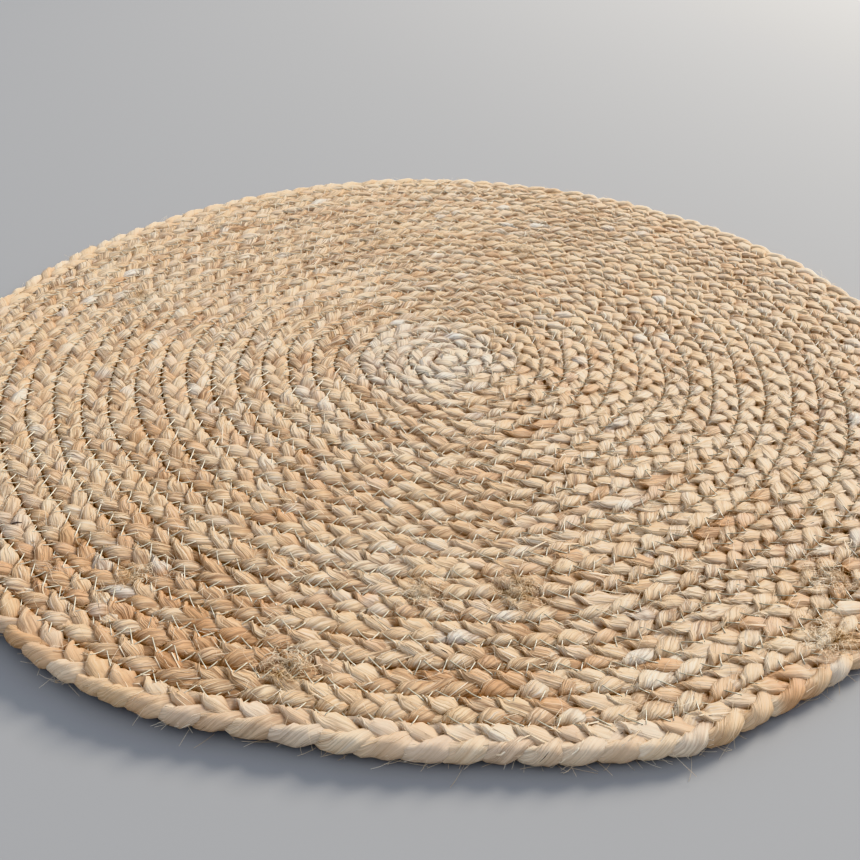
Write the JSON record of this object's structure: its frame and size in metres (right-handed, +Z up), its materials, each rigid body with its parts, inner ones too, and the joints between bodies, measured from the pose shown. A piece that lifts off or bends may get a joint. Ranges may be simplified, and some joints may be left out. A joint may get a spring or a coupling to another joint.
{
  "type": "round braided placemat",
  "caption": "Round table mat: a plaited plant-fibre braid coiled flat in a spiral and sewn round to round, with a scalloped rim.",
  "frame": {"origin": "middle of the mat's outline, on the surface that the mat lies on", "axes": "+Z up out of the top face, -Y towards the front edge of the picture, +X to its right"},
  "size_m": [0.3764, 0.3766, 0.0086],
  "materials": {
    "jute_braid": "matt, plaited strands of combed plant fibre in straw, tan and pale cream, with fine lengthwise hairs",
    "sewing_thread": "thin pale thread with a slight gloss, in a zigzag across every seam"
  },
  "bodies": {
    "root": {"braided_coil": "jute_braid"}
  },
  "joints": []
}
